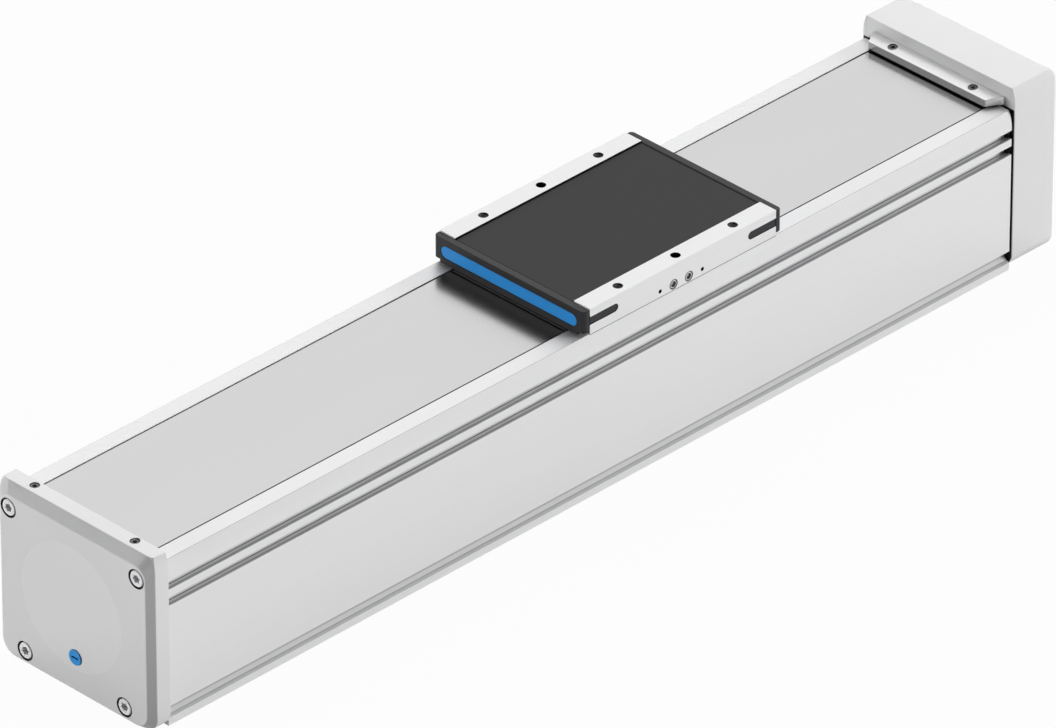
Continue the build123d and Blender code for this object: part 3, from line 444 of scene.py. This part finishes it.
SILVER = (0.80, 0.80, 0.805)
COAT = (0.76, 0.76, 0.765)
BLUE = (0.012, 0.21, 0.56)
finishes = {
    "cap_finish": powder_coat("silver powder coat", COAT, 0.34, 0.5),
    "steel_strip": rolled_steel("rolled strip steel", (0.70, 0.70, 0.70), 0.20, metal=1.0),
    "ground_steel": turned_steel("ground steel", (0.60, 0.60, 0.62), 0.25),
    "bearing_steel": turned_steel("bearing steel", (0.64, 0.64, 0.66), 0.18),
    "screw_steel": turned_steel("zinc plated screws", (0.84, 0.84, 0.85), 0.34, 0.25, CAP_SCREWS),
    "set_screw_steel": turned_steel("set screw steel", (0.20, 0.20, 0.21), 0.36, metal=0.6),
    "black_plastic": moulded("black cover plastic", (0.013, 0.013, 0.0145), 0.42),
    "green_plastic": moulded("dark green seal plastic", (0.05, 0.16, 0.11), 0.45),
    "blue_plastic": moulded("blue inlay plastic", BLUE, 0.34, depth_mm=0.006),
    "black_plate": plate_finish("black anodised plate", (0.020, 0.020, 0.021)),
    "buffer_rubber": moulded("buffer rubber", (0.02, 0.02, 0.02), 0.75, gloss=0.3),
    "wiper_felt": pressed_felt("wiper felt", (0.05, 0.05, 0.05)),
    "magnet_strip": moulded("magnet strip rubber", (0.07, 0.06, 0.055), 0.6),
    "magnet": turned_steel("nickel plated magnet", (0.40, 0.39, 0.37), 0.25),
    "brass": nipple_finish("lubrication nipple steel", (0.70, 0.70, 0.70)),
}
own_finishes = {
    "profile": profile_finish("body profile aluminium", SILVER),
    "slide_body": slide_finish("slide aluminium", SILVER),
    "near_cap": powder_coat("near cap coat", COAT, 0.29, 0.52, disc=1.6),
    "clamp_bar": powder_coat("clamp bar nickel", (0.86, 0.86, 0.865), 0.24, 0.85),
    "ball_screw": ball_track("ball screw steel", (0.62, 0.62, 0.64)),
    "air_plug": plug_plastic("blue plug plastic", (0.018, 0.25, 0.62)),
}


slots = {part["node"]: part["material_slot"] for part in frame["record"]["subparts"]}


def finish_of(name):
    """A node's own finish, or the one of its material slot."""
    return own_finishes.get(name) or finishes[slots[name]]


for name in slots:
    coats = frame["nodes"][name].data.materials
    coats.clear()
    coats.append(finish_of(name))


def mesh_piece(name, corners, faces, finish, body=None, smooth=False):
    """A mesh object from corners in metres and faces by corner number."""
    mesh = bpy.data.meshes.new(name)
    mesh.from_pydata([tuple(c) for c in corners], [], faces)
    mesh.update()
    mesh.materials.append(finish)
    piece = bpy.data.objects.new(name, mesh)
    bpy.context.scene.collection.objects.link(piece)
    if smooth:
        for face in mesh.polygons:
            face.use_smooth = True
    if body:
        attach(piece, body)
    return piece


def ribbon(name, line, half_width, thickness, finish):
    """A strip that follows a line of (x, z) points, with its upper face raised by thickness."""
    corners = []
    for x, z in line:
        for y in (-half_width, half_width):
            corners.append((x, y, z))
            corners.append((x, y, z + thickness))
    faces = []
    for i in range(len(line) - 1):
        a, b = 4 * i, 4 * i + 4
        faces += [(a + 1, b + 1, b + 3, a + 3), (a, a + 2, b + 2, b)]
        faces += [(a, b, b + 1, a + 1), (a + 2, a + 3, b + 3, b + 2)]
    last = 4 * (len(line) - 1)
    faces += [(0, 1, 3, 2), (last, last + 2, last + 3, last + 1)]
    return mesh_piece(name, corners, faces, finish)


# The cover strip: a run on each side of the slide's middle, from the top of the hump over its bridge
# down to a flat run along the frame, out to the strip's end at the cap.
profile_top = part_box("profile")[1].z
strip_low, strip_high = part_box("cover_strip")
slide_middle = (PLATE_LOW.x + PLATE_HIGH.x) / 2
strip_thickness = 0.4 * MM
strip_half = (strip_high.y - strip_low.y) / 2
flat_z = profile_top - 0.2 * MM - strip_thickness
hump_foot, hump_head, hump_bend = 62 * MM, 38 * MM, 60 * MM
hump_rise = strip_high.z - strip_thickness - flat_z


def hump_line(side, steps=8):
    """Points of the hump's half on one side, from the slide's middle outwards."""
    slope = math.atan2(hump_rise, hump_foot - hump_head)
    reach = hump_bend * math.tan(slope / 2)
    line = [(slide_middle, flat_z + hump_rise)]
    for i in range(steps + 1):
        turn = slope * i / steps
        x = hump_head - reach + hump_bend * math.sin(turn)
        line.append((slide_middle + side * x, flat_z + hump_rise - hump_bend * (1 - math.cos(turn))))
    for i in range(steps + 1):
        turn = slope * (1 - i / steps)
        x = hump_foot + reach - hump_bend * math.sin(turn)
        line.append((slide_middle + side * x, flat_z + hump_bend * (1 - math.cos(turn))))
    return line


strip_steel = finishes["steel_strip"]
strip_ends = {"near": (-1, strip_low.x), "drive": (1, strip_high.x)}
for place, (side, end_x) in strip_ends.items():
    line = hump_line(side) + [(end_x, flat_z)]
    run = ribbon(f"cover_strip_{place}_run", line, strip_half, strip_thickness, strip_steel)
    foot_x = line[-2][0]
    foot_x + side * MM
    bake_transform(run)
    if place == "near":
        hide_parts("cover_strip")


def stand_in(piece, name):
    """Lets a detailed piece take its node's place and follow its body."""
    bodies = frame["record"]["behaviour"]["bodies"]
    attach(piece, next(body for body, nodes in bodies.items() if name in nodes))
    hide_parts(name)


def eased(name, width):
    """The node's own shape with its edges eased by a small rounding."""
    mesh = frame["nodes"][name].data.copy()
    work = bmesh.new()
    work.from_mesh(mesh)
    bmesh.ops.remove_doubles(work, verts=work.verts, dist=1e-6)
    bmesh.ops.dissolve_limit(work, angle_limit=math.radians(0.2), verts=work.verts, edges=work.edges)
    for face in work.faces:
        face.smooth = True
    for edge in work.edges:
        edge.smooth = True
    work.to_mesh(mesh)
    work.free()
    for layer in ("custom_normal", "sharp_edge", "sharp_face"):
        if layer in mesh.attributes:
            mesh.attributes.remove(mesh.attributes[layer])
    piece = bpy.data.objects.new(f"{name}_eased", mesh)
    bpy.context.scene.collection.objects.link(piece)
    rounding = piece.modifiers.new("rounding", "BEVEL")
    rounding.width = width * MM
    rounding.segments = 2
    rounding.limit_method = "ANGLE"
    rounding.angle_limit = math.radians(24)
    rounding.use_clamp_overlap = False
    level = piece.modifiers.new("level faces", "WEIGHTED_NORMAL")
    level.weight = 100
    stand_in(piece, name)
    return piece


def turned(name, node, places, outwards, rings, steps=48):
    """Round pieces turned about the axis outwards, one at each place, in their node's stead. The rings
    run from the inner end to the outer end and down into the recess, each as (radius, height, lobe) in
    millimetres, where lobe is the height of six waves round the ring.
    """
    axis = Vector(outwards)
    side = axis.orthogonal().normalized()
    other = axis.cross(side)
    corners, faces = [], []
    for place in places:
        first = len(corners)
        for radius, height, lobe in rings:
            for i in range(steps):
                angle = math.tau * i / steps
                reach = radius + lobe * math.cos(6 * angle)
                spoke = side * math.cos(angle) + other * math.sin(angle)
                corners.append((Vector(place) + axis * height + spoke * reach) * MM)
        for ring in range(len(rings) - 1):
            low, high = first + ring * steps, first + (ring + 1) * steps
            for i in range(steps):
                j = (i + 1) % steps
                faces.append((low + i, low + j, high + j, high + i))
        last = first + (len(rings) - 1) * steps
        faces.append(tuple(range(first + steps - 1, first - 1, -1)))
        faces.append(tuple(range(last, last + steps)))
    piece = mesh_piece(name, corners, faces, finish_of(node))
    stand_in(piece, node)
    return piece


SIDES = (-1, 1)


def cap_screw_rings(length):
    """Cylinder head screw with a six-lobed recess, its head flush with the cap's face."""
    return (
        (2.1, -length, 0.0),
        (2.5, -length + 0.6, 0.0),
        (2.5, -5.6, 0.0),
        (4.7, -5.6, 0.0),
        (5.0, -5.3, 0.0),
        (5.0, -0.45, 0.0),
        (4.6, -0.05, 0.0),
        (2.55, -0.05, 0.38),
        (2.3, -0.3, 0.38),
        (2.3, -2.2, 0.38),
        (0.8, -2.6, 0.05),
    )


near_places = [(NEAR_FRONT, side * y, z) for side in SIDES for y, z in CAP_SCREWS]
drive_places = [(DRIVE_FRONT, side * y, z) for side in SIDES for y, z in CAP_SCREWS]
turned("near_cap_screw_heads", "near_cap_screws", near_places, (-1, 0, 0), cap_screw_rings(32.4))
turned("drive_cap_screw_heads", "drive_cap_screws", drive_places, (1, 0, 0), cap_screw_rings(57.6))


def set_screw_rings(length):
    """Set screw with a rounded rim and a hexagon socket."""
    return (
        (2.4, -length, 0.0),
        (2.8, -length + 0.5, 0.0),
        (2.84, -0.4, 0.0),
        (2.5, 0.0, 0.0),
        (1.45, 0.0, 0.08),
        (1.38, -0.2, 0.08),
        (1.38, -2.4, 0.08),
        (0.5, -2.8, 0.0),
    )


near_set = [(NEAR_SCREW_X, side * NEAR_SCREW_Y, NEAR_TOP - 0.6) for side in SIDES]
bar_set = [(BAR_SCREW_X, side * BAR_SCREW_Y, BAR_TOP - 0.6) for side in SIDES]
turned("near_set_screws", "near_strip_screws", near_set, (0, 0, 1), set_screw_rings(7.1))
turned("drive_set_screws", "drive_strip_screws", bar_set, (0, 0, 1), set_screw_rings(6.1))

nipple_rings = (
    (2.9, -6.0, 0.0),
    (3.27, -5.6, 0.0),
    (3.27, -0.1, 0.0),
    (3.15, -0.02, 0.0),
    (2.95, -0.02, 0.0),
    (2.85, -0.9, 0.0),
    (2.45, -0.9, 0.0),
    (2.35, -0.1, 0.0),
    (1.85, -0.1, 0.0),
    (1.45, -1.7, 0.0),
    (0.9, -1.8, 0.0),
    (0.65, -0.9, 0.0),
    (0.25, -0.7, 0.0),
)
nipples = [(SIDE_HOLE_X + side * NIPPLE_OFFSET, -60.0, SIDE_HOLE_Z) for side in SIDES]
turned("nipple_cups", "lubrication_nipples", nipples, (0, -1, 0), nipple_rings)


def thread_coil(name, places, outwards, bore, pitch, depth, finish, body, steps=20):
    """The turns of a thread inside round bores: a ridge that winds down from each place."""
    axis = Vector(outwards)
    side = axis.orthogonal().normalized()
    other = axis.cross(side)
    corners, faces = [], []
    for place in places:
        first, count = len(corners), int(depth / pitch * steps)
        for i in range(count + 1):
            angle = math.tau * i / steps
            spoke = side * math.cos(angle) + other * math.sin(angle)
            for reach, rise in ((bore, 0.0), (bore - 0.45 * pitch, -0.5 * pitch), (bore, -pitch)):
                height = rise - pitch * i / steps
                corners.append((Vector(place) + axis * height + spoke * reach) * MM)
        for i in range(count):
            a, b = first + 3 * i, first + 3 * i + 3
            faces += [(a, b, b + 1, a + 1), (a + 1, b + 1, b + 2, a + 2)]
    return mesh_piece(name, corners, faces, finish, body)


# The threads in the slide's and the drive cap's bores are coloured with the dark set screw steel as
# painted shade
shaded_thread_finish = finishes["set_screw_steel"]
slide_threads = [(SLIDE_X + x * HOLE_X, y * HOLE_Y, SLIDE_TOP - 0.4) for x in SIDES for y in SIDES]
thread_coil("slide_threads", slide_threads, (0, 0, 1), 2.49, 0.8, 10.5, shaded_thread_finish, "slide")
motor_threads = [
    (DRIVE_FRONT - 0.4, y * MOTOR_HOLE_OFFSET, SCREW_AXIS_Z + z * MOTOR_HOLE_OFFSET)
    for y in SIDES
    for z in SIDES
]
thread_coil("motor_flange_threads", motor_threads, (1, 0, 0), 2.49, 0.8, 12.0, shaded_thread_finish, "frame")

# Edges rounded by so many millimetres. The inlays stay out of reflections: the strip shows no blue.
for name, width in {
    "near_cap": 0.45,
    "drive_cap": 0.45,
    "clamp_bar": 0.4,
    "front_cover": 0.4,
    "rear_cover": 0.4,
    "front_inlay": 0.2,
    "rear_inlay": 0.2,
    "cover_plate": 0.3,
}.items():
    piece = eased(name, width)
    if name.endswith("inlay"):
        piece.visible_glossy = False

# Floor: white to the camera, partly bright in reflections, matt grey to everything else
floor_paint = bpy.data.materials.new("pale floor")
floor_paint.use_nodes = True
floor_tree = floor_paint.node_tree
kit = Wave(floor_tree, None)
floor_rays = kit.node("LightPath")
camera_ray = Wave(floor_tree, floor_rays.outputs["Is Camera Ray"])
polished_ray = Wave(floor_tree, floor_rays.outputs["Is Glossy Ray"])
matt = floor_tree.nodes["Principled BSDF"]
matt.inputs["Base Color"].default_value = grey(0.40)
matt.inputs["Roughness"].default_value = 1.0
matt.inputs["Specular IOR Level"].default_value = 0.0
glow = kit.node("Emission", Color=grey(1.0), Strength=1.0)
mixed = kit.node("MixShader", _0=camera_ray * 0.97 + polished_ray * 0.40)
floor_tree.links.new(matt.outputs[0], mixed.inputs[1])
floor_tree.links.new(glow.outputs[0], mixed.inputs[2])
floor_tree.links.new(mixed.outputs[0], floor_tree.nodes["Material Output"].inputs[0])
floor_half, floor_gap = 60.0, 0.2 * MM
floor_z = cad_box[0][2] - floor_gap
corners = [(x * floor_half, y * floor_half, floor_z) for x, y in ((-1, -1), (1, -1), (1, 1), (-1, 1))]
floor = mesh_piece("floor", corners, [(0, 1, 2, 3)], floor_paint)

# World: white to the camera and dim as a lamp. Polished pieces mirror a bright corner above and behind
# the axis, a dimmer overhead and a dark side.
AMBIENT, DARK_SIDE, OVERHEAD, BRIGHT_SIDE = 0.07, 0.12, 0.30, 0.96
BRIGHT_CORNER = (0.60, 0.60, 0.53)
world = bpy.data.worlds.new("studio")
bpy.context.scene.world = world
world.use_nodes = True
sky = Wave(world.node_tree, None)
rays = sky.node("LightPath")
seen = Wave(world.node_tree, rays.outputs["Is Camera Ray"])
mirrored = Wave(world.node_tree, rays.outputs["Is Glossy Ray"])
outward = Wave(world.node_tree, sky.node("TexCoord").outputs["Generated"])
towards = sky.node("VectorMath", {"operation": "DOT_PRODUCT"}, _0=outward, _1=BRIGHT_CORNER)
corner = ((Wave(world.node_tree, towards.outputs["Value"]) - 0.25) * 2.2).clamped()
height = Wave(world.node_tree, sky.node("SeparateXYZ", Vector=outward).outputs["Z"])
overhead = ((height - 0.1) * 4.0).clamped() * (OVERHEAD - DARK_SIDE) + DARK_SIDE
reflected = overhead + corner * (BRIGHT_SIDE - overhead)
strength = seen * (1 - AMBIENT) + mirrored * (reflected - AMBIENT) + AMBIENT
backdrop = world.node_tree.nodes["Background"]
backdrop.inputs["Color"].default_value = grey(1.0)
world.node_tree.links.new(strength.socket, backdrop.inputs["Strength"])

# Lamps: three softboxes that don't show in polished pieces
LAMP_DISTANCE = 12.0
centre = Vector((0.02, 0.0, 0.06))


def softbox(name, direction, width, height, power):
    """A rectangular area lamp that faces the axis from the given direction."""
    lamp = bpy.data.lights.new(name, "AREA")
    lamp.shape = "RECTANGLE"
    lamp.size = width
    lamp.size_y = height
    lamp.energy = power * LAMP_DISTANCE**2
    holder = bpy.data.objects.new(name, lamp)
    bpy.context.scene.collection.objects.link(holder)
    away = Vector(direction).normalized()
    holder.location = centre + away * LAMP_DISTANCE
    holder.rotation_euler = away.to_track_quat("Z", "Y").to_euler()
    holder.visible_glossy = False
    return holder


softbox("key", (0.35, 0.45, 0.82), 7.5, 7.5, 9.0)
softbox("side", (0.70, -0.71, 0.08), 5.0, 8.0, 23.0)
softbox("end", (-0.70, 0.71, 0.02), 5.0, 4.0, 17.5)

# Camera: where the photograph was taken from
PHOTO_WIDTH, PHOTO_HEIGHT = 1056, 728
FOCAL_PIXELS = 14218.0
AXIS_PIXEL = (531.7, 365.1)
SENSOR_MM = 36.0
eye = Vector((-4.8119, -4.8178, 4.35095))
azimuth, elevation = math.radians(-45.0), math.radians(32.229)
level_reach = math.cos(elevation)
back = Vector((math.sin(azimuth) * level_reach, -math.cos(azimuth) * level_reach, math.sin(elevation)))
right = Vector((math.cos(azimuth), math.sin(azimuth), 0.0))
up = back.cross(right)
view = bpy.data.cameras.new("photo")
view.sensor_width = SENSOR_MM
view.lens = FOCAL_PIXELS * SENSOR_MM / PHOTO_WIDTH
view.shift_x = (PHOTO_WIDTH / 2 - AXIS_PIXEL[0]) / PHOTO_WIDTH
view.shift_y = (AXIS_PIXEL[1] - PHOTO_HEIGHT / 2) / PHOTO_WIDTH
view.clip_end = 200.0
camera = bpy.data.objects.new("photo", view)
bpy.context.scene.collection.objects.link(camera)
camera.matrix_world = Matrix.Translation(eye) @ Matrix((right, up, back)).transposed().to_4x4()
bpy.context.scene.camera = camera
bpy.context.scene.view_settings.view_transform = "Standard"
